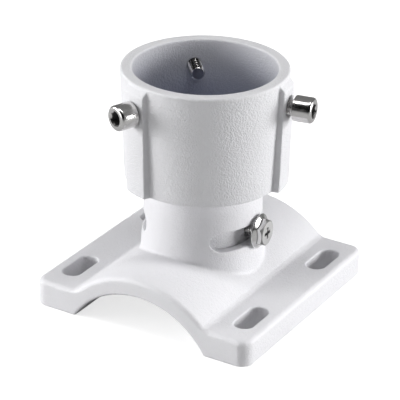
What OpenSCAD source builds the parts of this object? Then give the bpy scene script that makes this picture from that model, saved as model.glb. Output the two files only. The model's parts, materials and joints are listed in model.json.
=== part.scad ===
// Camera bracket for a pole: a cast saddle base with two slotted feet, and a
// swivelling collar that takes the pipe of a camera. Millimetres, Z up.
// The origin is on the standing plane of the feet, under the swivel axis.
// X runs across the pole from foot to foot, and Y runs along the pole.

/* [Feet] */
// Distance between the slotted holes across the pole
slot_span_x = 77.9; // [76:0.1:88]
// Distance between the slotted holes along the pole
slot_span_y = 56.8; // [50:0.2:70]
// From the centre of a slotted hole to the end face of the foot
slot_edge_x = 9; // [7:0.05:14]
// From the centre of a slotted hole to the side face of the foot
slot_edge_y = 18.75; // [14:0.05:24]
// Width of a slotted hole
slot_w = 8; // [5:0.5:10]
// Length of a slotted hole, along the pole
slot_l = 18.6; // [12:0.2:24]
// Thickness of the feet
foot_t = 10.8; // [9:0.1:13]
// Radius of the foot's corners, seen from above
corner_r = 5; // [2.5:0.5:7]
// Rounding of the cast edges of the base
edge_r = 2; // [0.5:0.25:2.25]

/* [Saddle] */
// Radius of the arch that sits on the pole
arch_r = 34.3; // [33:0.1:36]
// Depth of the arch's axis below the feet
arch_drop = 18.3; // [17:0.1:19]
// Metal over the crown of the arch
crown_t = 7.3; // [5:0.1:8]
// How much larger the saddle's outer radius is than the arch's
saddle_gain = 5.1; // [4:0.1:6]

/* [Neck and swivel] */
// Radius of the collar's spigot
spigot_r = 20; // [18:0.25:22]
// Radial running clearance of the spigot in the neck
swivel_clear = 0.1; // [0.05:0.01:0.1]
// Wall of the neck at its top
neck_wall = 2.6; // [2.4:0.1:4.4]
// Draft angle of the neck's outside
neck_draft = 3; // [0.5:0.1:3.5]
// Height of the neck's top above the feet
neck_top = 49.5; // [48:0.1:62]
// Metal between the arch and the floor of the neck
neck_floor = 7; // [5:0.5:9]
// Gap between the neck's top and the collar
seat_gap = 0.2; // [0.1:0.05:0.3]
// Gap between the spigot's end and the neck's floor
spigot_gap = 0.5; // [0.3:0.1:1]
// Radius of the cable passage through the spigot and the base
passage_r = 15.5; // [10:0.5:16]

/* [Swivel lock] */
// Height of the windows in the neck above its floor, to their middle
lock_rise = 7.8; // [7:0.1:12]
// Height of a window
window_h = 8; // [7:0.25:9]
// Width of a window from end to end, seen straight on
window_w = 37; // [24:0.5:38]
// Turn of the collar away from its middle position
collar_turn = 9.5; // [-17:0.5:46]
// How far the front lock screw stands back from the first boss, as an angle
lock_lag = 6; // [-8:1:8]
// Angle from the front lock screw to the back one
lock_spread = 163; // [160:1:180]

/* [Collar] */
// Radius of the straight seat for the pipe
pipe_r = 27.5; // [26:0.25:30]
// How much the cast mouth widens from the seat to the rim
mouth_gain = 0.4; // [0.2:0.1:1]
// Width of the rim's face
rim_w = 4.6; // [3.5:0.1:6]
// Height of the collar
collar_h = 45.1; // [40:0.1:60]
// Metal between the collar's underside and the pipe's seat
collar_floor = 4.1; // [3:0.1:8]
// Depth of the cast mouth above the straight seat
mouth_h = 16; // [15:0.5:20]
// Draft angle of the collar's outside
collar_draft = 2.15; // [0.5:0.05:3]
// Rounding of the rim
rim_round = 0.8; // [0.3:0.1:1.2]

/* [Screw bosses] */
// Width of a boss
boss_w = 11.2; // [9:0.1:14]
// How far a boss stands out from the collar at the rim
boss_proud = 2.15; // [1.5:0.05:4]
// Draft angle of a boss's outer face
boss_draft = 1.35; // [0.5:0.05:2]
// Distance from the rim to where a boss fades into the collar
boss_drop = 1; // [0.9:0.1:3]
// Height of the slope that it fades with
boss_slope = 1.5; // [1:0.25:4]
// Chamfer on the upright edges of a boss
boss_chamfer = 0.5; // [0.2:0.1:1]
// Depth of the clamp screws' axis below the rim
clamp_drop = 11; // [9:0.5:11.5]

/* [Clamp screws] */
// Thread diameter of every screw
thread_d = 6; // [5:0.5:6.5]
// Radial clearance of a screw in its tapped hole
thread_clear = 0.05; // [0.02:0.01:0.1]
// Length of a clamp screw under its head
clamp_l = 16; // [14:1:18]
// Diameter of a cap head
cap_d = 10; // [9:0.25:11]
// Height of a cap head
cap_h = 7.5; // [6:0.25:8]
// Width of the hex socket across its flats
socket_af = 5; // [4:0.5:6]
// Depth of the hex socket
socket_depth = 3.4; // [2.5:0.1:4]
// Gap under the head of the right clamp screw
right_gap = 2; // [0.2:0.1:4]
// Gap under the heads of the left and rear clamp screws
other_gap = 0.5; // [0.2:0.1:3]

/* [Lock screws] */
// Length of a lock screw under its flange
lock_l = 8; // [7.5:0.1:8.4]
// Diameter of the flange
flange_d = 14; // [12:0.5:14.5]
// Thickness of the flange at its edge
flange_edge = 0.8; // [0.5:0.1:1.2]
// Height of the flange's slope up to the hexagon
flange_slope = 1; // [0.6:0.1:1.6]
// Width of the hexagon across its flats
hex_af = 10; // [8:0.5:10.5]
// Whole height of the lock screw's head
lock_head_h = 4; // [3.6:0.1:6]
// Width of the cross recess
cross_w = 5; // [4:0.25:6]
// Depth of the cross recess
cross_depth = 2; // [1.5:0.1:3]
// Gap between the flange and the neck, so that the collar can turn
flange_gap = 0.3; // [0.2:0.05:0.5]

/* [Hidden] */
$fn = 96;

// Small overlap that lets a cut run past the face it opens
past = 1;

// Feet and saddle
base_x = slot_span_x + 2 * slot_edge_x;
base_y = slot_span_y + 2 * slot_edge_y;
arch_top = arch_r - arch_drop;
saddle_r = arch_r + saddle_gain;
saddle_z = arch_top + crown_t - saddle_r;

// Neck
floor_z = arch_top + neck_floor;
neck_bore_r = spigot_r + swivel_clear;
neck_top_r = neck_bore_r + neck_wall;
neck_root = arch_top - crown_t;
bore_chamfer = 0.8;
lock_z = floor_z + lock_rise;

// Collar
collar_z = neck_top + seat_gap;
rim_z = collar_z + collar_h;
spigot_end = floor_z + spigot_gap;
seat_z = collar_z + collar_floor;
mouth_z = rim_z - mouth_h;
mouth_r = pipe_r + mouth_gain;
rim_r = mouth_r + rim_w;
foot_round = rim_round;
clamp_z = rim_z - clamp_drop;
boss_core_r = pipe_r + rim_w / 3;
boss_angles = [0, 120, 240];

// Screws
thread_r = thread_d / 2;
hole_r = thread_r + thread_clear;
tip_chamfer = 0.7;
cap_round = 0.8;
cap_r = cap_d / 2;
flange_r = flange_d / 2;
sink_r = hole_r + 1;

// Outer radius of the tapered neck at a height
function neck_r(z) = neck_top_r + (neck_top - z) * tan(neck_draft);

// Outer radius of the tapered collar at a height
function collar_r(z) = rim_r - (rim_z - z) * tan(collar_draft);

// Radius of a boss's outer face at a height
function boss_r(z) = rim_r + boss_proud - (rim_z - z) * tan(boss_draft);

// Circumradius of a hexagon from its width across flats
function hex_r(af) = af / 2 / cos(30);

// Points of an arc about a centre, from one angle to another
function arc(centre, r, from, to, steps = 6) =
    [for (i = [0 : steps])
        let (a = from + (to - from) * i / steps)
        [centre[0] + r * cos(a), centre[1] + r * sin(a)]];

clamp_seat_r = boss_r(clamp_z + cap_r);
lock_seat_r = neck_r(lock_z - flange_r) + flange_gap;

// Places its children on a line out of the swivel axis, with their Z pointing
// outwards and their origin at the given radius
module on_spoke(angle, radius, z) {
    translate([0, 0, z])
        rotate([0, 0, angle])
            translate([radius, 0, 0])
                rotate([0, 90, 0])
                    children();
}

// Does the same in mirror image at both ends of an axis
module at_both_ends(axis) {
    children();
    mirror(axis) children();
}

// Section of a bar that lies on the ground, with its two upper corners rounded
module bar_section(width) {
    translate([-width / 2, 0])
        square([width, foot_t - edge_r]);
    translate([-width / 2 + edge_r, 0])
        square([width - 2 * edge_r, foot_t]);
    for (side = [-1, 1])
        translate([side * (width / 2 - edge_r), foot_t - edge_r])
            circle(r = edge_r);
}

// Round post that forms one corner of the foot plate
module corner_post() {
    rotate_extrude() {
        square([corner_r, foot_t - edge_r]);
        square([corner_r - edge_r, foot_t]);
        intersection() {
            translate([corner_r - edge_r, foot_t - edge_r])
                circle(r = edge_r);
            square([corner_r, foot_t]);
        }
    }
}

// Plate under both feet, with rounded corners and upper edges
module foot_plate() {
    along_x = base_x - 2 * corner_r;
    along_y = base_y - 2 * corner_r;
    rotate([90, 0, 90])
        linear_extrude(along_x, center = true)
            bar_section(base_y);
    rotate([90, 0, 0])
        linear_extrude(along_y, center = true)
            bar_section(base_x);
    for (x = [-1, 1], y = [-1, 1])
        translate([x * along_x / 2, y * along_y / 2, 0])
            corner_post();
}

// Rounded hump over the pole, a drum that lies along Y
module saddle_drum() {
    translate([0, 0, saddle_z])
        rotate([90, 0, 0])
            rotate_extrude() {
                translate([0, -base_y / 2])
                    square([saddle_r - edge_r, base_y]);
                translate([0, -base_y / 2 + edge_r])
                    square([saddle_r, base_y - 2 * edge_r]);
                for (side = [-1, 1])
                    translate([saddle_r - edge_r, side * (base_y / 2 - edge_r)])
                        circle(r = edge_r);
            }
}

// Room for the pole, with a rounded lip at both ends
module arch_cut() {
    translate([0, 0, -arch_drop])
        rotate([90, 0, 0])
            rotate_extrude() {
                translate([0, -base_y / 2 - past])
                    square([arch_r, base_y + 2 * past]);
                at_both_ends([0, 1, 0])
                    difference() {
                        translate([0, base_y / 2 - edge_r])
                            square([arch_r + edge_r, edge_r + past]);
                        translate([arch_r + edge_r, base_y / 2 - edge_r])
                            circle(r = edge_r);
                    }
            }
}

// Outline of a slot with round ends, long along X
module slot_outline(length, width) {
    straight = length - width;
    square([straight, width], center = true);
    at_both_ends([1, 0, 0])
        translate([straight / 2, 0])
            circle(d = width);
}

// Slotted hole through a foot, long along Y
module foot_slot() {
    translate([0, 0, -past])
        linear_extrude(foot_t + 2 * past)
            rotate(90)
                slot_outline(slot_l, slot_w);
}

// Windows through both sides of the neck, cored straight along X, so that they
// look like curved slots on its round wall
module neck_windows() {
    translate([0, 0, lock_z])
        rotate([90, 0, 90])
            linear_extrude(2 * neck_r(floor_z) + 2 * past, center = true)
                slot_outline(window_w, window_h);
}

// Bore of the neck, its chamfered mouth and the cable passage under it
module neck_bore() {
    translate([0, 0, floor_z])
        cylinder(h = neck_top - floor_z + past, r = neck_bore_r);
    translate([0, 0, neck_top - bore_chamfer])
        cylinder(h = bore_chamfer + past, r1 = neck_bore_r,
                 r2 = neck_bore_r + bore_chamfer + past);
    cylinder(h = floor_z + past, r = passage_r);
}

module saddle_base() {
    color([0.86, 0.86, 0.88])
        difference() {
            union() {
                foot_plate();
                intersection() {
                    saddle_drum();
                    translate([-base_x / 2, -base_y / 2, 0])
                        cube([base_x, base_y, arch_top + 2 * crown_t]);
                }
                translate([0, 0, neck_root])
                    cylinder(h = neck_top - neck_root, r1 = neck_r(neck_root),
                             r2 = neck_top_r);
            }
            arch_cut();
            neck_bore();
            for (x = [-1, 1], y = [-1, 1])
                translate([x * slot_span_x / 2, y * slot_span_y / 2, 0])
                    foot_slot();
            neck_windows();
        }
}

// Section of the collar and its spigot, from the passage's wall outwards
module collar_section() {
    lean = tan(collar_draft);
    slant = 1 / cos(collar_draft);
    rim_corner = [rim_r - rim_round * (lean + slant), rim_z - rim_round];
    foot_corner = [collar_r(collar_z) - foot_round * (slant - lean),
                   collar_z + foot_round];
    mouth_corner = [mouth_r + rim_round, rim_z - rim_round];
    polygon(concat(
        [[passage_r, spigot_end],
         [spigot_r - bore_chamfer, spigot_end],
         [spigot_r, spigot_end + bore_chamfer],
         [spigot_r, collar_z]],
        arc(foot_corner, foot_round, -90, -collar_draft),
        arc(rim_corner, rim_round, -collar_draft, 90),
        arc(mouth_corner, rim_round, 90, 180),
        [[pipe_r, mouth_z],
         [pipe_r, seat_z],
         [passage_r, seat_z]]));
}

// Ring that the bosses are cut from. The slope at its top runs on a little
// inside the collar's wall.
module boss_ring() {
    fade = rim_z - boss_drop;
    shoulder = fade - boss_slope;
    run_on = 1.2;
    top = shoulder + run_on * boss_slope;
    inner = boss_r(shoulder) - run_on * (boss_r(shoulder) - collar_r(fade));
    rotate_extrude()
        polygon([[boss_core_r, collar_z],
                 [boss_r(collar_z), collar_z],
                 [boss_r(shoulder), shoulder],
                 [inner, top],
                 [boss_core_r, top]]);
}

// Upright block that leaves one boss of the ring, its outer edges chamfered
// along the boss's own draft
module boss_block() {
    reach = boss_r(rim_z) + past;
    difference() {
        translate([0, -boss_w / 2, collar_z - past])
            cube([reach, boss_w, collar_h + 2 * past]);
        for (side = [-1, 1])
            translate([boss_edge_x() - boss_chamfer, side * boss_w / 2, rim_z])
                rotate([0, boss_draft, 0])
                    rotate([0, 0, -side * 45])
                        translate([0, side * boss_w / 2, -collar_h])
                            cube([boss_w, boss_w, 3 * collar_h], center = true);
    }
}

// Where a boss's outer face meets its side, at the rim's height
function boss_edge_x() = sqrt(pow(boss_r(rim_z), 2) - pow(boss_w / 2, 2));

// Tapped hole for a clamp screw, with a countersunk mouth
module clamp_hole() {
    face = boss_r(clamp_z);
    on_spoke(0, mouth_r - past, clamp_z)
        cylinder(h = face - mouth_r + 2 * past, r = hole_r);
    on_spoke(0, face - sink_r + hole_r, clamp_z)
        cylinder(h = sink_r - hole_r + past, r1 = hole_r, r2 = sink_r + past);
}

// Tapped hole for a lock screw through the wall of the spigot
module lock_hole() {
    on_spoke(0, passage_r - past, lock_z)
        cylinder(h = spigot_r - passage_r + 2 * past, r = hole_r);
}

module collar() {
    color([0.84, 0.84, 0.87])
        rotate([0, 0, collar_turn])
            difference() {
                union() {
                    rotate_extrude() collar_section();
                    intersection() {
                        boss_ring();
                        union()
                            for (angle = boss_angles)
                                rotate([0, 0, angle])
                                    boss_block();
                    }
                }
                for (angle = boss_angles)
                    rotate([0, 0, angle])
                        clamp_hole();
                for (spread = [0, lock_spread])
                    rotate([0, 0, spread - lock_lag])
                        lock_hole();
            }
}

// Plain shank with a chamfered tip, hanging below the head
module shank(length) {
    translate([0, 0, -length])
        rotate_extrude()
            polygon([[0, 0], [thread_r - tip_chamfer, 0], [thread_r, tip_chamfer],
                     [thread_r, length + past], [0, length + past]]);
}

// Socket-head cap screw, standing on its bearing face at Z 0
module cap_screw() {
    difference() {
        union() {
            shank(clamp_l);
            rotate_extrude()
                polygon(concat(
                    [[0, 0], [cap_r - 0.2, 0], [cap_r, 0.2]],
                    arc([cap_r - cap_round, cap_h - cap_round], cap_round, 0, 90),
                    [[0, cap_h]]));
        }
        translate([0, 0, cap_h - socket_depth])
            cylinder(h = socket_depth + past, r = hex_r(socket_af), $fn = 6);
        translate([0, 0, cap_h - 0.4])
            cylinder(h = 0.4 + past, r1 = socket_af / 2, r2 = socket_af / 2 + 0.4 + past);
    }
}

// Head of the lock screw: flange, hexagon with a chamfered top, cross recess
module lock_head() {
    hex_corner = hex_r(hex_af);
    difference() {
        union() {
            rotate_extrude()
                polygon([[0, 0], [flange_r, 0], [flange_r, flange_edge],
                         [hex_af / 2, flange_edge + flange_slope],
                         [0, flange_edge + flange_slope]]);
            intersection() {
                cylinder(h = lock_head_h, r = hex_corner, $fn = 6);
                rotate_extrude()
                    polygon([[0, 0], [hex_corner + past, 0],
                             [hex_corner + past, lock_head_h - past - 0.8],
                             [hex_af / 2 - 0.3, lock_head_h], [0, lock_head_h]]);
            }
        }
        translate([0, 0, lock_head_h - cross_depth])
            cross_recess();
    }
}

// Tapered four-wing recess, widest at the top
module cross_recess() {
    wing = cross_w / 4;
    intersection() {
        cylinder(h = cross_depth + past, r1 = wing,
                 r2 = cross_w / 2 + (cross_w / 2 - wing) * past / cross_depth);
        for (turn = [0, 90])
            rotate([0, 0, turn])
                translate([0, 0, cross_depth])
                    cube([2 * cross_w, wing, 3 * cross_depth], center = true);
    }
}

// Hex flange screw, standing on its bearing face at Z 0
module flange_screw() {
    shank(lock_l);
    lock_head();
}

module clamp_screw(index, gap) {
    color([0.72, 0.73, 0.75])
        on_spoke(collar_turn + boss_angles[index], clamp_seat_r + gap, clamp_z)
            cap_screw();
}

module lock_screw(spread) {
    color([0.70, 0.71, 0.73])
        on_spoke(collar_turn - lock_lag + spread, lock_seat_r, lock_z)
            flange_screw();
}

saddle_base();
collar();
clamp_screw(0, right_gap);  // clamp_screw_right
clamp_screw(1, other_gap);  // clamp_screw_rear
clamp_screw(2, other_gap);  // clamp_screw_left
lock_screw(0);  // lock_screw_front
lock_screw(lock_spread);  // lock_screw_back
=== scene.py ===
"""Cast and threaded surfaces, finishes and stage for a pole-mount camera bracket.

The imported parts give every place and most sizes. The two castings become rounded
skins with fillets and a sandy powder coat, and the five screws get real threads,
sockets and recesses. Everything is in metres, in the parts' own frame: Z is the
swivel axis, Y runs along the pole, and the feet stand at Z 0.
"""

import json
import math

import bpy
import numpy as np
from mathutils import Matrix, Vector


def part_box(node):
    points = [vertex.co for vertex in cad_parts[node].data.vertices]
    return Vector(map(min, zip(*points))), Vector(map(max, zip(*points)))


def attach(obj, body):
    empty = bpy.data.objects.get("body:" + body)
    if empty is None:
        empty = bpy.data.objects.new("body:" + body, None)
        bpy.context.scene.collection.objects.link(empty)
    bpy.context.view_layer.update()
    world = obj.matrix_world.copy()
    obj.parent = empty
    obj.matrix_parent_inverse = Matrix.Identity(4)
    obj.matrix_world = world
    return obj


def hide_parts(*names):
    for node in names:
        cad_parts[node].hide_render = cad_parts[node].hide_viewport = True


bl_info = {
    "name": "Camera Bracket",
    "version": (1, 0, 0),
    "blender": (4, 5, 0),
    "location": "3D View > Sidebar > Bracket",
    "description": "Builds the looks of a pole-mount camera bracket around its packed parts",
    "category": "Object",
}

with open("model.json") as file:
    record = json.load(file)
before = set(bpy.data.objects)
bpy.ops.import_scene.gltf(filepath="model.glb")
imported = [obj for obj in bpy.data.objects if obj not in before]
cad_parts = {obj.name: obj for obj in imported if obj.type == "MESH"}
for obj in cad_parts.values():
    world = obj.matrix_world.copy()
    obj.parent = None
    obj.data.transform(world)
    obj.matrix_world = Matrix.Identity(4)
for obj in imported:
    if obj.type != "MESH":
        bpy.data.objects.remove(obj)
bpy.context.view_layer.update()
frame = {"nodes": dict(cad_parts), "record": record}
RECORD = frame["record"]

MM = 0.001
SHARP = math.radians(32)        # a screw's edges that turn by more than this look sharp
GRID_BEFORE, GRID_AFTER = 2.3, 2.6    # free cells round a skin, so that no flat meets the grid
PROBE = 1 / 20                  # share of the grid's pitch that a gradient is taken over
CARD_ROWS, CARD_COLUMNS = 16, 32
FLOOR_HALF, FLOOR_DROP, FLOOR_GREY = 20.0, 0.1 * MM, 0.6
BUMP_STRENGTH = 0.9
EDGE_SHADE_MARK = 0.8                 # mark of painted shade in the flange screw's groove and a painted dark reflection on its chamfer
BORE_SHADE_TINT = (0.9, 0.95, 1.15)   # painted shade in the bore: the coat turns darker and bluer deeper in
MOUNTS = {mount["name"]: mount for mount in RECORD["mounts"]}
JOINTS = {joint["name"]: joint for joint in RECORD["behaviour"]["joints"]}
BASE_LOW, BASE_HIGH = (np.array(corner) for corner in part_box("saddle_base"))
COLLAR_LOW, COLLAR_HIGH = (np.array(corner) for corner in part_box("collar"))

ARCH_R = MOUNTS["pole_arch"]["dims"]["r_mm"] * MM
ARCH_Z = MOUNTS["pole_arch"]["pos_m"][2] - ARCH_R
SLOTS = MOUNTS["right_foot_slots"]
SLOT_X = SLOTS["pos_m"][0]
SLOT_Y = SLOTS["dims"]["spacing_y_mm"] * MM / 2
SLOT_R = SLOTS["dims"]["hole_r_mm"] * MM
SLOT_RUN = SLOTS["dims"]["slot_length_mm"] * MM / 2 - SLOT_R
SEAT = MOUNTS["pipe_seat"]
PIPE_R = SEAT["dims"]["r_mm"] * MM
SEAT_Z = SEAT["pos_m"][2] - SEAT["dims"]["length_mm"] * MM / 2
MOUTH_Z = SEAT["pos_m"][2] + SEAT["dims"]["length_mm"] * MM / 2
PASSAGE_R = MOUNTS["cable_passage"]["dims"]["r_mm"] * MM


def length(name, description, millimetres):
    """A size in the sidebar, given in millimetres and held in metres."""
    return bpy.props.FloatProperty(name=name, description=description, precision=5,
                                   default=millimetres * MM, min=0.0, unit="LENGTH")


def angle(name, description, degrees):
    """An angle in the sidebar, given in degrees and held in radians."""
    return bpy.props.FloatProperty(name=name, description=description, precision=4,
                                   default=math.radians(degrees), subtype="ANGLE")


def factor(name, description, value, most=1.0):
    """A plain number in the sidebar."""
    return bpy.props.FloatProperty(name=name, description=description, default=value,
                                   min=0.0, max=most, precision=4)


def colour(name, description, value):
    """A linear colour in the sidebar."""
    return bpy.props.FloatVectorProperty(name=name, description=description, size=3,
                                         default=value, min=0.0, max=1.0, subtype="COLOR")


class BRACKET_PG_base(bpy.types.PropertyGroup):
    """Sizes of the saddle base's skin."""
    foot_t: length("Foot thickness", "Height of the feet's tops", 10.8)
    corner_r: length("Corner radius", "Radius of the feet's corners, seen from above", 5.0)
    crown_t: length("Crown thickness", "Metal over the crown of the arch", 7.3)
    saddle_gain: length("Saddle gain", "Saddle's outer radius beyond the arch's", 5.1)
    neck_wall: length("Neck wall", "Wall of the neck at its top", 2.6)
    neck_floor: length("Neck floor", "Metal between the arch and the neck's floor", 7.0)
    neck_draft: angle("Neck draft", "Draft angle of the neck's outside", 3.0)
    bore_r: length("Neck bore", "Radius of the bore that the spigot turns in", 20.1)
    bore_chamfer: length("Bore chamfer", "Chamfer at the mouth of the bore", 0.8)
    window_w: length("Window width", "Width of a window from end to end", 37.0)
    window_h: length("Window height", "Height of a window", 8.0)
    lock_rise: length("Window rise", "Middle of a window above the neck's floor", 7.8)
    edge_r: length("Cast edges", "Rounding of the feet and the end faces", 2.0)
    arch_round: length("Arch edge", "Rounding of the arch's edge on the end faces", 0.7)
    crease_r: length("Crease fillet", "Fillet between the feet and the saddle", 1.3)
    root_r: length("Root fillet", "Fillet between the saddle and the neck", 0.9)
    mouth_r: length("Hole edges", "Rounding of the slots' and windows' edges", 0.55)
    fine_r: length("Fine edges", "Rounding of the neck's top, the bore and the ground edge", 0.4)
    pitch: length("Grid pitch", "Spacing of the grid that the skin is sampled on", 0.64)


class BRACKET_PG_collar(bpy.types.PropertyGroup):
    """Sizes of the collar's skin."""
    seat_gap: length("Seat gap", "Gap between the neck's top and the collar", 0.2)
    spigot_r: length("Spigot radius", "Radius of the spigot under the collar", 20.0)
    rim_w: length("Rim width", "Width of the rim's face", 4.6)
    mouth_gain: length("Mouth gain", "How much the mouth widens from the seat to the rim", 0.4)
    draft: angle("Collar draft", "Draft angle of the collar's outside", 2.15)
    boss_w: length("Boss width", "Width of a screw boss", 11.2)
    boss_proud: length("Boss height", "How far a boss stands out from the collar at the rim", 2.15)
    boss_draft: angle("Boss draft", "Draft angle of a boss's outer face", 1.35)
    boss_drop: length("Boss drop", "From the rim to where a boss fades into the collar", 1.0)
    boss_slope: length("Boss slope", "Height of the slope that a boss fades with", 2.2)
    rim_round: length("Rim rounding", "Rounding of the rim and of the lower edge", 0.8)
    boss_round: length("Boss edges", "Rounding of a boss's edges", 0.45)
    boss_fillet: length("Boss fillet", "Fillet between a boss and the collar", 0.4)
    thread_clear: length("Thread clearance", "Radial clearance of a screw in its hole", 0.05)
    sink: length("Countersink", "Depth of the countersink round a clamp screw's hole", 1.0)
    pitch: length("Grid pitch", "Spacing of the grid that the skin is sampled on", 0.62)


class BRACKET_PG_screws(bpy.types.PropertyGroup):
    """Sizes of the clamp screws and the lock screws."""
    thread_d: length("Thread diameter", "Outer diameter of every thread", 6.0)
    thread_pitch: length("Thread pitch", "Advance of a thread in one turn", 1.0)
    thread_depth: length("Thread depth", "Depth of a thread's groove", 0.61)
    tip_chamfer: length("Tip chamfer", "Chamfer at a screw's tip", 0.7)
    cap_d: length("Cap diameter", "Diameter of a cap head", 10.0)
    cap_h: length("Cap height", "Height of a cap head", 7.5)
    cap_round: length("Cap rounding", "Rounding of a cap head's outer edge", 1.15)
    socket_af: length("Socket width", "Hex socket across its flats", 5.0)
    socket_depth: length("Socket depth", "Depth of the hex socket", 3.4)
    socket_lead: length("Socket lead", "Depth of the lead-in cone of the socket", 0.55)
    flange_d: length("Flange diameter", "Diameter of a lock screw's flange", 14.0)
    flange_edge: length("Flange edge", "Thickness of the flange at its edge", 0.8)
    flange_slope: length("Flange slope", "Height of the flange's slope at the hexagon", 1.0)
    foot_gap: length("Hexagon foot", "Height of the groove at the hexagon's foot", 0.3)
    hex_af: length("Hexagon width", "Hexagon across its flats", 10.0)
    head_h: length("Lock head height", "Whole height of a lock screw's head", 4.0)
    cross_w: length("Cross width", "Width of the cross recess", 5.0)
    cross_depth: length("Cross depth", "Depth of the cross recess", 2.0)
    columns: bpy.props.IntProperty(name="Columns", description="Grid columns round a screw",
                                   default=144, min=24, max=288)
    thread_rows: bpy.props.IntProperty(name="Thread rows", description="Grid rows in one thread",
                                       default=10, min=4, max=20)


class BRACKET_PG_finish(bpy.types.PropertyGroup):
    """Colours and grain of the coat and of the screws."""
    base_coat: colour("Base coat", "Powder coat of the saddle base", (0.80, 0.797, 0.822))
    collar_coat: colour("Collar coat", "Powder coat of the collar", (0.79, 0.79, 0.812))
    grain: length("Coat grain", "Size of the coat's sandy grain", 0.62)
    peel: length("Orange peel", "Size of the coat's slow waves", 1.5)
    base_depth: length("Base grain depth", "Height of the bumps in the base's coat", 0.26)
    collar_depth: length("Collar grain depth", "Height of the bumps in the collar's coat", 0.42)
    coat_rough: factor("Coat roughness", "Roughness of the powder coat", 0.46)
    cap_metal: colour("Cap screw metal", "Nickel on the clamp screws", (0.66, 0.65, 0.645))
    lock_metal: colour("Lock screw metal", "Nickel on the lock screws", (0.66, 0.655, 0.65))
    metal_rough: factor("Metal roughness", "Roughness of the nickel", 0.17)
    # recess tone: how dark the painted shade on the nickel is in sockets, crosses, the groove and
    # the chamfer
    recess_tone: factor("Recess tone", "Share of the nickel's colour in sockets and crosses", 0.3)
    # bore tone: how dark the painted shade deep in the collar's bore is
    bore_tone: factor("Bore tone", "Share of the coat's colour deep in the collar's bore", 0.55)


class BRACKET_PG_stage(bpy.types.PropertyGroup):
    """Camera, lamps and floor."""
    azimuth: angle("Camera azimuth", "Angle of the camera round Z, from looking along Y", 30.8327)
    elevation: angle("Camera elevation", "Angle of the camera above the horizon", 25.8715)
    roll: angle("Camera roll", "Turn of the camera about its own axis", 0.9441)
    distance: length("Camera distance", "From the camera to its aim", 758.62)
    lens: factor("Lens", "Focal length in millimetres on a 36 mm sensor", 185.6, 400.0)
    aim: bpy.props.FloatVectorProperty(name="Aim", description="Point in the picture's middle",
                                       size=3, default=(0.02105, -0.03767, 0.05913),
                                       precision=5, subtype="TRANSLATION", unit="LENGTH")
    lamp_distance: length("Lamp distance", "From the object to each lamp", 900.0)
    lamp_height: angle("Lamp elevation", "Angle of the low lamps above the horizon", 2.5)
    left_height: angle("Left lamp elevation", "Angle of the left lamp above the horizon", 8.0)
    top_height: angle("Top lamp elevation", "Angle of the top lamp above the horizon", 81.0)
    lamp_size: length("Lamp size", "Width of a low lamp", 500.0)
    top_length: length("Top lamp length", "Length of the top lamp, from left to right", 1000.0)
    top_width: length("Top lamp width", "Width of the top lamp", 150.0)
    right_power: factor("Right lamp", "Power of the right lamp in watts", 11.9, 100.0)
    left_power: factor("Left lamp", "Power of the left lamp in watts", 7.7, 100.0)
    fill_power: factor("Fill lamp", "Power of the lamp at the front left in watts", 1.9, 100.0)
    back_power: factor("Back lamp", "Power of the lamp behind the object in watts", 4.0, 100.0)
    top_power: factor("Top lamp", "Power of the top lamp in watts", 5.0, 100.0)
    fill_turn: angle("Fill turn", "Angle from the left lamp to the fill lamp", 30.0)
    ambient: factor("Ambient", "Level of the even light from all round", 0.05)
    mirrored: factor("Mirrored level", "Level of the surroundings in reflections", 0.22)
    floor_glow: factor("Floor glow", "Share of the floor's white that no shadow dims", 0.72)
    right_turn: angle("Right lamp turn", "Angle of the right lamp towards the camera", 2.0)
    card_distance: length("Card distance", "From the object to the dark card", 1500.0)
    card_half: angle("Card half width", "Half the angle that the dark card spans", 60.0)
    card_low: angle("Card lower edge", "Elevation of the dark card's lower edge", 5.0)
    card_high: angle("Card upper edge", "Elevation of the dark card's upper edge", 72.0)


def join(a, b, radius):
    """Union of two solids given by their distances, with a round fillet in the corner.

    Away from the corner it is the smaller distance. Within the radius of both
    surfaces it is the distance to a circle of that radius that touches them."""
    near = np.hypot(np.maximum(radius - a, 0), np.maximum(radius - b, 0))
    return np.maximum(radius, np.minimum(a, b)) - near


def keep(a, b, radius):
    """What two solids share, with a rounded edge: the larger distance, and round the
    edge the distance to a circle of that radius inside it."""
    near = np.hypot(np.maximum(radius + a, 0), np.maximum(radius + b, 0))
    return np.minimum(-radius, np.maximum(a, b)) + near


def cut(a, b, radius):
    """The first solid without the second, with a rounded edge."""
    return keep(a, -b, radius)


def rounded_plan(x, y, half_x, half_y, radius):
    """Distance to a rectangle with round corners, seen from above."""
    over_x = np.abs(x) - (half_x - radius)
    over_y = np.abs(y) - (half_y - radius)
    outside = np.hypot(np.maximum(over_x, 0), np.maximum(over_y, 0))
    return outside + np.minimum(np.maximum(over_x, over_y), 0) - radius


def cone_wall(radius, z, radius_at, height, lean):
    """Distance to a drafted round wall that has a radius at a height and widens
    downwards by the lean angle."""
    return (radius - radius_at - (height - z) * math.tan(lean)) * math.cos(lean)


def spoke(x, y, turn):
    """Coordinates along and across a line that leaves the Z axis at an angle."""
    return x * math.cos(turn) + y * math.sin(turn), y * math.cos(turn) - x * math.sin(turn)


def heading(joint):
    """Angle about Z of a slide joint's axis."""
    axis = JOINTS[joint]["axis"]
    return math.atan2(axis[1], axis[0])


def reach(node, turn):
    """Where a screw starts and ends along its spoke, and the height of its axis."""
    mesh = frame["nodes"][node].data
    points = np.empty(len(mesh.vertices) * 3)
    mesh.vertices.foreach_get("co", points)
    points = points.reshape(-1, 3)
    along, _ = spoke(points[:, 0], points[:, 1], turn)
    return along.min(), along.max(), (points[:, 2].min() + points[:, 2].max()) / 2


def window_height(size):
    """Height of the windows' middle, which is the height of the lock screws."""
    return ARCH_Z + ARCH_R + size.neck_floor + size.lock_rise


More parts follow.
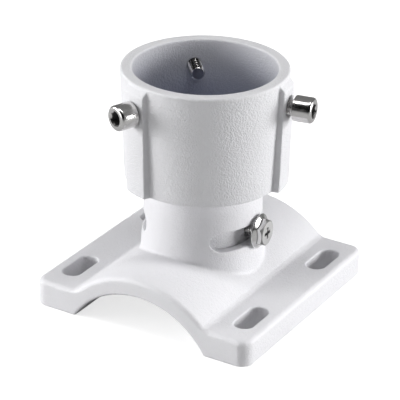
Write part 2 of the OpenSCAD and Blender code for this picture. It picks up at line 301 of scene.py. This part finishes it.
def base_distance(size):
    """Returns the function that gives the distance to the saddle base.

    A slab over the feet and a drum that lies along Y meet in a fillet and end in one
    rounded plan. The drafted neck stands on them. The arch, the ground, the bore, the
    four slots and the two windows are then cut out, each with its own rounding."""
    arch_top = ARCH_Z + ARCH_R
    saddle_r = ARCH_R + size.saddle_gain
    saddle_z = arch_top + size.crown_t - saddle_r
    floor_z = arch_top + size.neck_floor
    window_z = window_height(size)
    window_r = size.window_h / 2
    window_run = size.window_w / 2 - window_r
    neck_top = BASE_HIGH[2]

    def distance(x, y, z):
        radius = np.hypot(x, y)
        skin = join(z - size.foot_t, np.hypot(x, z - saddle_z) - saddle_r, size.crease_r)
        plan = rounded_plan(x, y, BASE_HIGH[0], BASE_HIGH[1], size.corner_r)
        solid = keep(skin, plan, size.edge_r)
        wall = cone_wall(radius, z, size.bore_r + size.neck_wall, neck_top, size.neck_draft)
        solid = join(solid, keep(wall, z - neck_top, size.fine_r), size.root_r)
        solid = cut(solid, np.hypot(x, z - ARCH_Z) - ARCH_R, size.arch_round)
        solid = keep(solid, -z, size.fine_r)
        mouth = (radius - size.bore_r - z + neck_top - size.bore_chamfer) * math.sqrt(0.5)
        bore = np.maximum(np.minimum(radius - size.bore_r, mouth), floor_z - z)
        solid = cut(solid, np.minimum(bore, radius - PASSAGE_R), size.fine_r)
        beyond = np.maximum(np.abs(np.abs(y) - SLOT_Y) - SLOT_RUN, 0)
        solid = cut(solid, np.hypot(np.abs(x) - SLOT_X, beyond) - SLOT_R, size.mouth_r)
        beyond = np.maximum(np.abs(y) - window_run, 0)
        return cut(solid, np.hypot(beyond, z - window_z) - window_r, size.mouth_r)

    return distance


def collar_distance(size, base, screws):
    """Returns the function that gives the distance to the collar.

    A drafted round wall and three drafted bosses meet in fillets and end at the rim
    and at the underside. The spigot hangs below. The pipe's seat with its wider mouth,
    the cable passage and the tapped holes are then cut out."""
    rim_z = COLLAR_HIGH[2]
    under_z = BASE_HIGH[2] + size.seat_gap
    mouth_r = PIPE_R + size.mouth_gain
    rim_r = mouth_r + size.rim_w
    boss_r = rim_r + size.boss_proud
    lean = math.tan(size.draft)
    shoulder = rim_z - size.boss_drop - size.boss_slope
    shoulder_r = boss_r - (rim_z - shoulder) * math.tan(size.boss_draft)
    fade_run = shoulder_r - (rim_r - size.boss_drop * lean)
    fade_length = math.hypot(fade_run, size.boss_slope)
    hole_r = screws.thread_d / 2 + size.thread_clear
    clamps = {name: heading(name + "_clamp_slide") for name in ("right", "left", "rear")}
    locks = {name: heading(name + "_lock_slide") for name in ("front", "back")}
    clamp_z = reach("clamp_screw_right", clamps["right"])[2]
    lock_z = window_height(base)
    face_r = boss_r - (rim_z - clamp_z) * math.tan(size.boss_draft)

    def boss(x, y, z, radius, turn):
        along, across = spoke(x, y, turn)
        face = cone_wall(radius, z, boss_r, rim_z, -size.boss_draft)
        post = keep(np.abs(across) - size.boss_w / 2, face, size.boss_round)
        fade = ((radius - shoulder_r) * size.boss_slope + (z - shoulder) * fade_run) / fade_length
        return np.maximum(keep(post, fade, size.boss_round), -along)

    def distance(x, y, z):
        radius = np.hypot(x, y)
        bosses = [boss(x, y, z, radius, turn) for turn in clamps.values()]
        wall = cone_wall(radius, z, rim_r, rim_z, -size.draft)
        solid = join(wall, np.minimum.reduce(bosses), size.boss_fillet)
        solid = keep(solid, z - rim_z, size.rim_round)
        solid = keep(solid, under_z - z, size.rim_round)
        spigot = keep(radius - size.spigot_r, COLLAR_LOW[2] - z, size.rim_round)
        solid = np.minimum(solid, np.maximum(spigot, z - SEAT_Z + size.rim_round))
        rise = np.clip((z - MOUTH_Z) / (rim_z - MOUTH_Z), 0, 1)
        seat = keep(radius - PIPE_R - rise * size.mouth_gain, SEAT_Z - z, size.rim_round / 2)
        solid = cut(solid, seat, size.rim_round)
        solid = cut(solid, radius - PASSAGE_R, size.rim_round / 2)
        for turn in clamps.values():
            along, across = spoke(x, y, turn)
            bore = np.hypot(across, z - clamp_z) - hole_r
            sink = (bore - along + face_r - size.sink) * math.sqrt(0.5)
            bore = np.maximum(np.minimum(bore, sink), size.spigot_r - along)
            solid = np.maximum(solid, -bore)
        for turn in locks.values():
            along, across = spoke(x, y, turn)
            bore = np.hypot(across, z - lock_z) - hole_r
            solid = np.maximum(solid, -np.maximum(bore, -along))
        return solid

    return distance


def edge_sums(crossing, axis):
    """Sums a value on the grid's edges along one axis over the four such edges of
    each cell, which lie at both ends of the cell along the other two axes."""
    for other in range(3):
        if other != axis:
            low = [slice(None)] * 3
            high = [slice(None)] * 3
            low[other] = slice(None, -1)
            high[other] = slice(1, None)
            crossing = crossing[tuple(low)] + crossing[tuple(high)]
    return crossing


def surface_net(distance, low, high, pitch):
    """Vertices and quads of the surface where a distance function is zero.

    The function is sampled on a grid. A cell whose corners lie on both sides of the
    surface gets one vertex, the mean of the points where its edges cross it. A grid
    edge that crosses the surface gets one quad, through the four cells round it, and
    the quad's normal points to the outside."""
    ticks = [np.arange(low[i] - GRID_BEFORE * pitch, high[i] + GRID_AFTER * pitch, pitch)
             for i in range(3)]
    grid = np.ix_(*ticks)
    values = distance(*grid)
    inside = values < 0
    cells = tuple(len(tick) - 1 for tick in ticks)
    count = np.zeros(cells)
    total = [np.zeros(cells) for _ in range(3)]
    edges = []
    for axis in range(3):
        start = np.take(values, range(cells[axis]), axis)
        end = np.take(values, range(1, cells[axis] + 1), axis)
        flips = (start < 0) != (end < 0)
        share = np.where(flips, start / np.where(flips, start - end, 1), 0)
        count += edge_sums(flips.astype(float), axis)
        for i in range(3):
            tick = ticks[i][:-1] if i == axis else ticks[i]
            shape = [1, 1, 1]
            shape[i] = len(tick)
            place = tick.reshape(shape) * flips
            if i == axis:
                place = place + share * pitch
            total[i] += edge_sums(place, axis)
        edges.append((axis, np.argwhere(flips)))
    used = count > 0
    number = np.cumsum(used.ravel()).reshape(cells) - 1
    points = np.stack([part[used] / count[used] for part in total], axis=1)
    quads = []
    for axis, at in edges:
        second, third = (axis + 1) % 3, (axis + 2) % 3
        corners = []
        for step in ((1, 1), (0, 1), (0, 0), (1, 0)):
            cell = at.copy()
            cell[:, second] -= step[0]
            cell[:, third] -= step[1]
            corners.append(number[tuple(cell.T)])
        quad = np.stack(corners, axis=1)
        leaving = inside[tuple(at.T)]
        quad[~leaving] = quad[~leaving][:, ::-1]
        quads.append(quad)
    return points, np.concatenate(quads)


def gradient(distance, points, step):
    """Gradient of a distance function by central differences."""
    parts = []
    for axis in range(3):
        shift = np.zeros(3)
        shift[axis] = step
        ahead = distance(*(points + shift).T)
        behind = distance(*(points - shift).T)
        parts.append((ahead - behind) / (2 * step))
    return np.stack(parts, axis=1)


def settle(distance, points, quads, pitch, rounds=3):
    """Evens out a net and puts its vertices on the surface.

    Each round moves a vertex halfway to the mean of its neighbours, and then along
    the gradient by the distance that is left, in two steps of half a pitch at most."""
    links = np.concatenate([quads[:, [i, (i + 1) % 4]] for i in range(4)])
    ways = np.bincount(links[:, 0], minlength=len(points))[:, None]
    for turn in range(rounds + 1):
        if turn:
            mean = np.stack([np.bincount(links[:, 0], points[links[:, 1], axis], len(points))
                             for axis in range(3)], axis=1) / ways
            points = (points + mean) / 2
        for _ in range(2):
            slope = gradient(distance, points, pitch * PROBE)
            steep = np.maximum((slope ** 2).sum(axis=1), 0.25)
            move = np.clip(distance(*points.T) / steep, -pitch / 2, pitch / 2)
            points = points - slope * move[:, None]
    return points


def unit(vectors):
    """The vectors at length one."""
    return vectors / np.maximum(np.linalg.norm(vectors, axis=1, keepdims=True), 1e-12)


def put_mesh(name, points, faces, normals=None, marks=None):
    """Makes a smooth object from an array of points and arrays of faces. Normals give its shading,
    or else its sharp edges are found by angle. The marks go to the attribute recess: 1 is painted
    shade and duller metal, 0 is the plain metal and -1 is the plain metal, duller."""
    mesh = bpy.data.meshes.new(name)
    mesh.vertices.add(len(points))
    mesh.vertices.foreach_set("co", np.ascontiguousarray(points, dtype=np.float32).ravel())
    sides = np.concatenate([np.full(len(group), group.shape[1]) for group in faces])
    mesh.loops.add(int(sides.sum()))
    corners = np.concatenate([group.ravel() for group in faces])
    mesh.loops.foreach_set("vertex_index", corners.astype(np.int32))
    mesh.polygons.add(len(sides))
    starts = np.concatenate([[0], np.cumsum(sides)[:-1]])
    mesh.polygons.foreach_set("loop_start", starts.astype(np.int32))
    mesh.update(calc_edges=True)
    mesh.validate()
    mesh.shade_smooth()
    if marks is not None:
        recess = mesh.attributes.new("recess", "FLOAT", "POINT")
        recess.data.foreach_set("value", marks.astype(np.float32))
    if normals is None:
        mesh.set_sharp_from_angle(angle=SHARP)
    else:
        mesh.normals_split_custom_set_from_vertices(normals.tolist())
    piece = bpy.data.objects.new(name, mesh)
    bpy.context.collection.objects.link(piece)
    return piece


def skin(name, distance, low, high, pitch):
    """The rounded skin of a casting, with the shading of its true surface."""
    points, quads = surface_net(distance, low, high, pitch)
    points = settle(distance, points, quads, pitch)
    return put_mesh(name, points, [quads], unit(gradient(distance, points, pitch * PROBE)))


def hexagon(turn, across_flats):
    """Radius of a hexagon at an angle: half its width over the cosine of the angle
    to the middle of the nearest flat."""
    return across_flats / 2 / np.cos(np.mod(turn, math.pi / 3) - math.pi / 6)


def thread(height, turn, size):
    """Radius of a thread: a ridge whose place moves one pitch along in a turn, with a
    crest an eighth and a root a quarter of the pitch wide and straight flanks."""
    phase = np.mod(height / size.thread_pitch - turn / (2 * math.pi), 1)
    from_crest = np.abs(2 * phase - 1)
    groove = np.clip((from_crest - 0.125) / 0.625, 0, 1)
    return size.thread_d / 2 - size.thread_depth * groove


def stretch(start, end, steps):
    """Evenly spaced values after a start and up to an end."""
    return np.linspace(start, end, steps + 1)[1:]


def quarter(centre_r, centre_h, radius, start, end, steps):
    """Points of an arc in a profile, from one angle to another in degrees."""
    turn = np.radians(np.linspace(start, end, steps + 1))
    return np.stack([centre_r + radius * np.cos(turn), centre_h + radius * np.sin(turn)], axis=1)


class Lathe:
    """Rings of a turned surface, with a radius, a height and a mark at every column."""

    def __init__(self, columns):
        self.turn = np.arange(columns) * 2 * math.pi / columns
        self.radii = []
        self.heights = []
        self.marks = []

    def ring(self, radius, height, mark=0.0):
        """Adds one ring. A number stands for the same value in every column."""
        self.radii.append(radius + 0 * self.turn)
        self.heights.append(height + 0 * self.turn)
        self.marks.append(mark + 0 * self.turn)

    def rings(self, path):
        """Adds round rings from an array of radius and height."""
        for radius, height in path:
            self.ring(radius, height)

    def fill(self, radius, height, steps, mark=0.0):
        """Adds straight rings from the last one to the given radius and height."""
        from_r, from_h = self.radii[-1], self.heights[-1]
        for share in stretch(0, 1, steps):
            self.ring(from_r + (radius - from_r) * share, from_h + (height - from_h) * share,
                      mark)

    def mesh(self, name, place):
        """Joins the rings with quads and the first and last with one pole each, and
        places the piece with a matrix."""
        radii = np.array(self.radii)
        heights = np.array(self.heights)
        rows, columns = radii.shape
        across = np.stack([radii * np.cos(self.turn), radii * np.sin(self.turn), heights], axis=2)
        first = [0, 0, heights[0].mean()]
        last = [0, 0, heights[-1].mean()]
        points = np.concatenate([across.reshape(-1, 3), [first, last]])
        row, column = np.mgrid[0:rows - 1, 0:columns]
        ahead = (column + 1) % columns
        quads = np.stack([row * columns + column, row * columns + ahead,
                          (row + 1) * columns + ahead, (row + 1) * columns + column], axis=2)
        here = np.arange(columns)
        there = (here + 1) % columns
        pole = rows * columns
        top = (rows - 1) * columns
        caps = np.concatenate([
            np.stack([there, here, np.full(columns, pole)], axis=1),
            np.stack([top + here, top + there, np.full(columns, pole + 1)], axis=1)])
        turned = points @ np.array(place.to_3x3()).T + np.array(place.translation)
        marks = np.concatenate([np.ravel(self.marks), self.marks[0][:1], self.marks[-1][:1]])
        return put_mesh(name, turned, [quads.reshape(-1, 4), caps], marks=marks)


def spoke_place(turn, radius, height):
    """Matrix that stands a screw on a spoke: its Z points outwards and its X down."""
    outwards = Vector((math.cos(turn), math.sin(turn), 0))
    down = Vector((0, 0, -1))
    sideways = outwards.cross(down)
    place = Matrix((down, sideways, outwards)).transposed().to_4x4()
    place.translation = outwards * radius + Vector((0, 0, height))
    return place


def shank(lathe, run, size):
    """Tip and thread of a screw that hangs below its head. The chamfer cuts the
    thread off at 45 degrees."""
    tip_r = size.thread_d / 2 - size.tip_chamfer
    lathe.ring(0.5 * tip_r, -run)
    lathe.ring(tip_r, -run)
    rows = int(run / size.thread_pitch * size.thread_rows)
    for height in stretch(-run, 0, rows):
        lathe.ring(np.minimum(thread(height, lathe.turn, size), tip_r + height + run), height)


def cap_screw(name, place, run, size):
    """Socket-head cap screw: thread, round head with a rounded edge, lead-in cone and
    hex socket, turned as one surface."""
    lathe = Lathe(size.columns)
    shank(lathe, run, size)
    head_r = size.cap_d / 2
    socket = hexagon(lathe.turn, size.socket_af)
    lead_r = size.socket_af / 2 + size.socket_lead
    bottom = size.cap_h - size.socket_depth
    lathe.fill(head_r - 0.2 * MM, 0, 3)
    lathe.ring(head_r, 0.2 * MM)
    lathe.fill(head_r, size.cap_h - size.cap_round, 4)
    lathe.rings(quarter(head_r - size.cap_round, size.cap_h - size.cap_round,
                        size.cap_round, 0, 90, 8)[1:])
    lathe.fill(np.maximum(socket, lead_r), size.cap_h, 4)
    lathe.fill(socket, size.cap_h - np.maximum(lead_r - socket, 0), 3)
    # painted shade: the socket's walls and floor are marked dark
    lathe.fill(socket, bottom, 6, 1.0)
    lathe.fill(0.3 * socket, bottom - 0.6 * MM, 4, 1.0)
    return lathe.mesh(name, place)


def cross_recess(lathe, radius, size):
    """Depth of the four-wing recess at a radius: side walls a little off upright, and
    end walls that slope in along a cone."""
    x = np.abs(radius * np.cos(lathe.turn))
    y = np.abs(radius * np.sin(lathe.turn))
    half = size.cross_w / 8
    inside = half - np.minimum(x, y)
    end = (size.cross_w / 2 - radius) / (size.cross_w / 4)
    return size.cross_depth * np.clip(np.minimum(inside / (0.14 * MM), end), 0, 1)


def flange_screw(name, place, run, size):
    """Hex flange screw: thread, dished flange, hexagon with a chamfered top and a
    cross recess, turned as one surface whose radius follows the hexagon."""
    lathe = Lathe(size.columns)
    shank(lathe, run, size)
    flange_r = size.flange_d / 2
    flats = size.hex_af / 2
    wall = hexagon(lathe.turn, size.hex_af)
    rise = size.flange_slope / (flange_r - flats)
    face_r = flats - 0.3 * MM
    edge = size.flange_edge / 2
    lathe.fill(flange_r - edge, 0, 4)
    lathe.rings(quarter(flange_r - edge, edge, edge, -90, 60, 8)[1:])
    lathe.fill(wall + 0.25 * MM, size.flange_edge + (flange_r - wall) * rise, 5)
    # painted shade in the groove at the hexagon's foot
    lathe.fill(wall, lathe.heights[-1] + size.foot_gap, 2, EDGE_SHADE_MARK)
    lathe.fill(wall, size.head_h - (wall - face_r) * 0.87, 4)
    # painted dark reflection on the hexagon's top chamfer
    lathe.fill(face_r, size.head_h, 4, EDGE_SHADE_MARK)
    for radius in stretch(face_r, 0.1 * MM, 60):
        depth = cross_recess(lathe, radius, size)
        # painted shade: the cross is marked dark once it is deeper than about 0.3 mm, and the face
        # round it is only marked duller
        mark = np.clip(depth / (0.15 * MM) - 1, -1, 1)
        lathe.ring(radius, size.head_h - depth, mark)
    return lathe.mesh(name, place)


class Wire:
    """A node's output socket that does arithmetic. Each operator adds a Math node."""

    def __init__(self, tree, socket):
        self.tree = tree
        self.socket = socket

    def math(self, operation, *values):
        """Adds a Math node with an operation and gives its result."""
        return add_node(self.tree, "ShaderNodeMath", {"operation": operation}, *values)

    def __add__(self, other):
        return self.math("ADD", self, other)

    def __radd__(self, other):
        return self.math("ADD", other, self)

    def __sub__(self, other):
        return self.math("SUBTRACT", self, other)

    def __rsub__(self, other):
        return self.math("SUBTRACT", other, self)

    def __mul__(self, other):
        return self.math("MULTIPLY", self, other)

    def __truediv__(self, other):
        return self.math("DIVIDE", self, other)

    def clamp(self):
        """The value held between 0 and 1."""
        return add_node(self.tree, "ShaderNodeClamp", {}, self)


def add_node(tree, kind, settings, *values, output=0, **named):
    """Adds any node: its settings first, then its inputs by place or by name with
    underscores for spaces, each a number, a colour or a wire. Gives one output."""
    node = tree.nodes.new(kind)
    for key, value in settings.items():
        setattr(node, key, value)
    inputs = [socket for socket in node.inputs if socket.enabled]
    pairs = list(zip(inputs, values))
    pairs += [(node.inputs[key.replace("_", " ")], value) for key, value in named.items()]
    for socket, value in pairs:
        if isinstance(value, Wire):
            tree.links.new(value.socket, socket)
        elif value is not None:
            socket.default_value = value
    return Wire(tree, node.outputs[output]) if len(node.outputs) else None


def blank_material(name):
    """A material with an empty node tree."""
    material = bpy.data.materials.new(name)
    material.use_nodes = True
    material.node_tree.nodes.clear()
    return material, material.node_tree


def finish_material(tree, shader):
    """Wires a shader to the material's output."""
    add_node(tree, "ShaderNodeOutputMaterial", {}, shader)


def noise(tree, place, feature, detail=2.0, roughness=0.5, output=0):
    """Noise whose features are about as large as the given length."""
    return add_node(tree, "ShaderNodeTexNoise", {}, Vector=place, Scale=1 / feature,
                    Detail=detail, Roughness=roughness, output=output)


def mix_colour(tree, share, first, second):
    """A colour between two, by a share from 0 to 1."""
    return add_node(tree, "ShaderNodeMix", {"data_type": "RGBA"}, share, first, second, output=2)


def shade(rgb, level):
    """A linear colour made lighter or darker, with its alpha."""
    return tuple(min(part * level, 1.0) for part in rgb) + (1.0,)


def bore_shade_share(tree, place):
    """0 on the outside and 1 deep in the collar's bore, where the coat gets painted shade. It
    starts within the mouth's radius, ends at the seat, and rises with the depth."""
    parts = [add_node(tree, "ShaderNodeSeparateXYZ", {}, place, output=i) for i in range(3)]
    square = parts[0] * parts[0] + parts[1] * parts[1]
    radius = square.math("SQRT", square)
    within = ((PIPE_R + 0.6 * MM - radius) / (0.2 * MM)).clamp()
    within = within * ((parts[2] - SEAT_Z + 1.2 * MM) / MM).clamp()
    depth = ((COLLAR_HIGH[2] - parts[2]) / (COLLAR_HIGH[2] - SEAT_Z)).clamp()
    return within * (depth * 1.6 + 0.1).clamp()


def powder_coat(name, rgb, depth, finish, bore=False):
    """Satin powder coat: a sandy grain over slow orange-peel waves, with slight clouds in its
    colour and its gloss, and painted shade, darker and bluer, deep in the collar's bore."""
    material, tree = blank_material(name)
    place = add_node(tree, "ShaderNodeTexCoord", {}, output=3)
    grain = noise(tree, place, finish.grain, 3.0, 0.6)
    peel = noise(tree, place, finish.peel, 1.0)
    clouds = noise(tree, place, 14 * MM, 3.0)
    height = grain + peel * 0.45
    bump = add_node(tree, "ShaderNodeBump", {}, Strength=BUMP_STRENGTH, Distance=depth,
                    Height=height)
    tone = (clouds * 0.6 + grain * 0.4).clamp()
    coat = mix_colour(tree, tone, shade(rgb, 0.955), shade(rgb, 1.035))
    if bore:
        # painted shade: the coat is darker and bluer deeper in the bore
        deep = tuple(part * finish.bore_tone * tint for part, tint in zip(rgb, BORE_SHADE_TINT))
        coat = mix_colour(tree, bore_shade_share(tree, place), coat, deep + (1.0,))
    gloss = finish.coat_rough - 0.05 + clouds * 0.06 + grain * 0.05
    finish_material(tree, add_node(
        tree, "ShaderNodeBsdfPrincipled", {}, Base_Color=coat, Roughness=gloss,
        IOR=1.47, Normal=bump))
    return material


def nickel(name, rgb, finish):
    """Bright nickel on steel: a fine haze, faint cloudy tone and soft dents, with painted shade
    and a duller finish where the attribute recess says so."""
    material, tree = blank_material(name)
    place = add_node(tree, "ShaderNodeTexCoord", {}, output=3)
    haze = noise(tree, place, 0.35 * MM, 2.0)
    clouds = noise(tree, place, 2.5 * MM, 2.0)
    bump = add_node(tree, "ShaderNodeBump", {}, Strength=0.2, Distance=0.03 * MM,
                    Height=haze * 0.5 + clouds)
    metal = mix_colour(tree, clouds, shade(rgb, 0.92), shade(rgb, 1.06))
    # painted shade: the recess marks darken the nickel and also make it duller
    shade_and_dullness = add_node(tree, "ShaderNodeAttribute", {"attribute_name": "recess"}, output="Fac")
    metal = mix_colour(tree, shade_and_dullness.clamp(), metal, shade(rgb, finish.recess_tone))
    gloss = finish.metal_rough - 0.04 + haze * 0.05 + clouds * 0.05 + shade_and_dullness * shade_and_dullness * 0.25
    finish_material(tree, add_node(
        tree, "ShaderNodeBsdfPrincipled", {}, Base_Color=metal, Metallic=1.0,
        Roughness=gloss, Normal=bump))
    return material


def dress(piece, material, body, node):
    """Gives a piece its material and its place in the frame, instead of a node."""
    piece.data.materials.clear()
    piece.data.materials.append(material)
    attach(piece, body)
    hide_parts(node)


class BRACKET_OT_base(bpy.types.Operator):
    """Builds the saddle base's rounded skin in powder coat"""
    bl_idname = "bracket.base"
    bl_label = "Saddle Base"

    def execute(self, context):
        size = context.scene.bracket_base
        finish = context.scene.bracket_finish
        piece = skin("base_casting", base_distance(size), BASE_LOW, BASE_HIGH, size.pitch)
        coat = powder_coat("base_powder_coat", finish.base_coat, finish.base_depth, finish)
        dress(piece, coat, "base", "saddle_base")
        return {"FINISHED"}


class BRACKET_OT_collar(bpy.types.Operator):
    """Builds the swivelling collar's rounded skin in powder coat"""
    bl_idname = "bracket.collar"
    bl_label = "Collar"

    def execute(self, context):
        scene = context.scene
        size = scene.bracket_collar
        finish = scene.bracket_finish
        distance = collar_distance(size, scene.bracket_base, scene.bracket_screws)
        piece = skin("collar_casting", distance, COLLAR_LOW, COLLAR_HIGH, size.pitch)
        coat = powder_coat("collar_powder_coat", finish.collar_coat, finish.collar_depth,
                           finish, bore=True)
        dress(piece, coat, "swivel", "collar")
        return {"FINISHED"}


class BRACKET_OT_clamp_screws(bpy.types.Operator):
    """Builds the three socket-head clamp screws in nickel"""
    bl_idname = "bracket.clamp_screws"
    bl_label = "Clamp Screws"

    def execute(self, context):
        size = context.scene.bracket_screws
        finish = context.scene.bracket_finish
        metal = nickel("cap_screw_nickel", finish.cap_metal, finish)
        for side in ("right", "left", "rear"):
            turn = heading(side + "_clamp_slide")
            tip, top, height = reach("clamp_screw_" + side, turn)
            head = top - size.cap_h
            piece = cap_screw("clamp_bolt_" + side, spoke_place(turn, head, height),
                              head - tip, size)
            dress(piece, metal, side + "_clamp", "clamp_screw_" + side)
        return {"FINISHED"}


class BRACKET_OT_lock_screws(bpy.types.Operator):
    """Builds the two hex flange screws that lock the swivel, in nickel"""
    bl_idname = "bracket.lock_screws"
    bl_label = "Lock Screws"

    def execute(self, context):
        size = context.scene.bracket_screws
        finish = context.scene.bracket_finish
        metal = nickel("lock_screw_nickel", finish.lock_metal, finish)
        for side in ("front", "back"):
            turn = heading(side + "_lock_slide")
            tip, top, height = reach("lock_screw_" + side, turn)
            head = top - size.head_h
            piece = flange_screw("lock_bolt_" + side, spoke_place(turn, head, height),
                                 head - tip, size)
            dress(piece, metal, side + "_lock", "lock_screw_" + side)
        return {"FINISHED"}


def ray(tree, kind):
    """1 for rays of one kind, such as Camera or Glossy, and 0 for the others."""
    return add_node(tree, "ShaderNodeLightPath", {}, output="Is %s Ray" % kind)


def white_surroundings(ambient, mirrored):
    """World that is white to the camera, grey in reflections, and lights the object
    evenly at a low level."""
    world = bpy.data.worlds.new("studio")
    bpy.context.scene.world = world
    world.use_nodes = True
    tree = world.node_tree
    tree.nodes.clear()
    level = ambient + ray(tree, "Camera") * (1 - ambient)
    level = level + ray(tree, "Glossy") * (mirrored - ambient)
    add_node(tree, "ShaderNodeOutputWorld", {},
             add_node(tree, "ShaderNodeBackground", {}, (1, 1, 1, 1), level))


def white_floor(glow):
    """Large pale floor under the feet. Only the camera sees its glow, which lights
    nothing, so that the matte share of it shows the object's shadow."""
    square = np.array([[-1, -1, 0], [1, -1, 0], [1, 1, 0], [-1, 1, 0]])
    corners = square * FLOOR_HALF + [0, 0, BASE_LOW[2] - FLOOR_DROP]
    floor = put_mesh("studio_floor", corners, [np.array([[0, 1, 2, 3]])])
    material, tree = blank_material("studio_white")
    grey = shade((FLOOR_GREY,) * 3, 1.0)
    matte = add_node(tree, "ShaderNodeBsdfDiffuse", {}, Color=grey)
    light = add_node(tree, "ShaderNodeEmission", {}, (1, 1, 1, 1), ray(tree, "Camera") * glow)
    finish_material(tree, add_node(tree, "ShaderNodeAddShader", {}, matte, light))
    floor.data.materials.append(material)


def lamp(name, turn, height, power, size, stage):
    """Lamp of a width and a length at an angle about Z and an elevation, pointed at
    the object's middle."""
    light = bpy.data.lights.new(name, "AREA")
    light.shape = "RECTANGLE"
    light.size, light.size_y = size
    light.energy = power
    flat = math.cos(height)
    away = Vector((math.cos(turn) * flat, math.sin(turn) * flat, math.sin(height)))
    holder = bpy.data.objects.new(name, light)
    holder.location = Vector((0, 0, COLLAR_HIGH[2] / 2)) + away * stage.lamp_distance
    holder.rotation_euler = away.to_track_quat("Z", "Y").to_euler()
    bpy.context.collection.objects.link(holder)
    return holder


def dark_card(stage):
    """Curved black card behind the camera, a patch of a sphere round the object, that
    only reflections show. It gives the nickel its dark bands."""
    across = np.linspace(-stage.card_half, stage.card_half, CARD_COLUMNS + 1)
    heights = np.linspace(stage.card_low, stage.card_high, CARD_ROWS + 1)
    turn, height = np.meshgrid(stage.azimuth - math.pi / 2 + across, heights)
    points = np.stack([np.cos(turn) * np.cos(height), np.sin(turn) * np.cos(height),
                       np.sin(height)], axis=2).reshape(-1, 3) * stage.card_distance
    row, column = np.mgrid[0:CARD_ROWS, 0:CARD_COLUMNS]
    here = row * (CARD_COLUMNS + 1) + column
    above = here + CARD_COLUMNS + 1
    quads = np.stack([here, above, above + 1, here + 1], axis=2).reshape(-1, 4)
    card = put_mesh("dark_card", points, [quads])
    material, tree = blank_material("studio_black")
    finish_material(tree, add_node(tree, "ShaderNodeEmission", {}, (0, 0, 0, 1), 1.0))
    card.data.materials.append(material)
    card.visible_camera = False
    card.visible_diffuse = False
    card.visible_transmission = False
    card.visible_shadow = False


def camera(stage):
    """Camera that looks at the aim from an azimuth, an elevation and a distance, and is
    then rolled about its own axis."""
    lens = bpy.data.cameras.new("camera")
    lens.lens = stage.lens
    lens.sensor_width = 36.0
    holder = bpy.data.objects.new("camera", lens)
    flat = math.cos(stage.elevation)
    back = Vector((math.sin(stage.azimuth) * flat, -math.cos(stage.azimuth) * flat,
                   math.sin(stage.elevation)))
    right = Vector((math.cos(stage.azimuth), math.sin(stage.azimuth), 0))
    up = back.cross(right)
    side = right * math.cos(stage.roll) + up * math.sin(stage.roll)
    top = up * math.cos(stage.roll) - right * math.sin(stage.roll)
    holder.matrix_world = Matrix((side, top, back)).transposed().to_4x4()
    holder.location = Vector(stage.aim) + back * stage.distance
    bpy.context.collection.objects.link(holder)
    bpy.context.scene.camera = holder


class BRACKET_OT_stage(bpy.types.Operator):
    """Sets the camera, the lamps, the white world, the floor and the dark card"""
    bl_idname = "bracket.stage"
    bl_label = "Stage"

    def execute(self, context):
        stage = context.scene.bracket_stage
        context.scene.view_settings.view_transform = "Standard"
        white_surroundings(stage.ambient, stage.mirrored)
        white_floor(stage.floor_glow)
        low, wide = stage.lamp_height, (stage.lamp_size, stage.lamp_size)
        strip = (stage.top_length, stage.top_width)
        right, left = stage.azimuth, stage.azimuth + math.pi
        back, front = stage.azimuth + math.pi / 2, stage.azimuth - math.pi / 2
        lamp("right_lamp", right - stage.right_turn, low, stage.right_power, wide, stage)
        lamp("left_lamp", left, stage.left_height, stage.left_power, wide, stage)
        lamp("fill_lamp", left + stage.fill_turn, low, stage.fill_power, wide, stage)
        lamp("top_lamp", front, stage.top_height, stage.top_power, strip, stage)
        lamp("back_lamp", back, low, stage.back_power, wide, stage).visible_glossy = False
        dark_card(stage)
        camera(stage)
        return {"FINISHED"}


class BRACKET_PT_panel(bpy.types.Panel):
    """Lists the bracket's pieces and their sizes"""
    bl_idname = "BRACKET_PT_panel"
    bl_label = "Camera Bracket"
    bl_space_type = "VIEW_3D"
    bl_region_type = "UI"
    bl_category = "Bracket"

    def draw(self, context):
        for group in GROUPS:
            box = self.layout.box()
            settings = getattr(context.scene, group)
            for key in settings.bl_rna.properties.keys():
                if key not in ("rna_type", "name"):
                    box.prop(settings, key)
        for operator in OPERATORS:
            self.layout.operator(operator.bl_idname)


GROUPS = {
    "bracket_base": BRACKET_PG_base,
    "bracket_collar": BRACKET_PG_collar,
    "bracket_screws": BRACKET_PG_screws,
    "bracket_finish": BRACKET_PG_finish,
    "bracket_stage": BRACKET_PG_stage,
}
OPERATORS = (BRACKET_OT_base, BRACKET_OT_collar, BRACKET_OT_clamp_screws,
             BRACKET_OT_lock_screws, BRACKET_OT_stage)


def register():
    for name, group in GROUPS.items():
        bpy.utils.register_class(group)
        setattr(bpy.types.Scene, name, bpy.props.PointerProperty(type=group))
    for operator in OPERATORS:
        bpy.utils.register_class(operator)
    bpy.utils.register_class(BRACKET_PT_panel)


def unregister():
    bpy.utils.unregister_class(BRACKET_PT_panel)
    for operator in reversed(OPERATORS):
        bpy.utils.unregister_class(operator)
    for name, group in reversed(GROUPS.items()):
        delattr(bpy.types.Scene, name)
        bpy.utils.unregister_class(group)


def main():
    register()
    bpy.ops.bracket.base()
    bpy.ops.bracket.collar()
    bpy.ops.bracket.clamp_screws()
    bpy.ops.bracket.lock_screws()
    bpy.ops.bracket.stage()


if __name__ == "__main__":
    main()
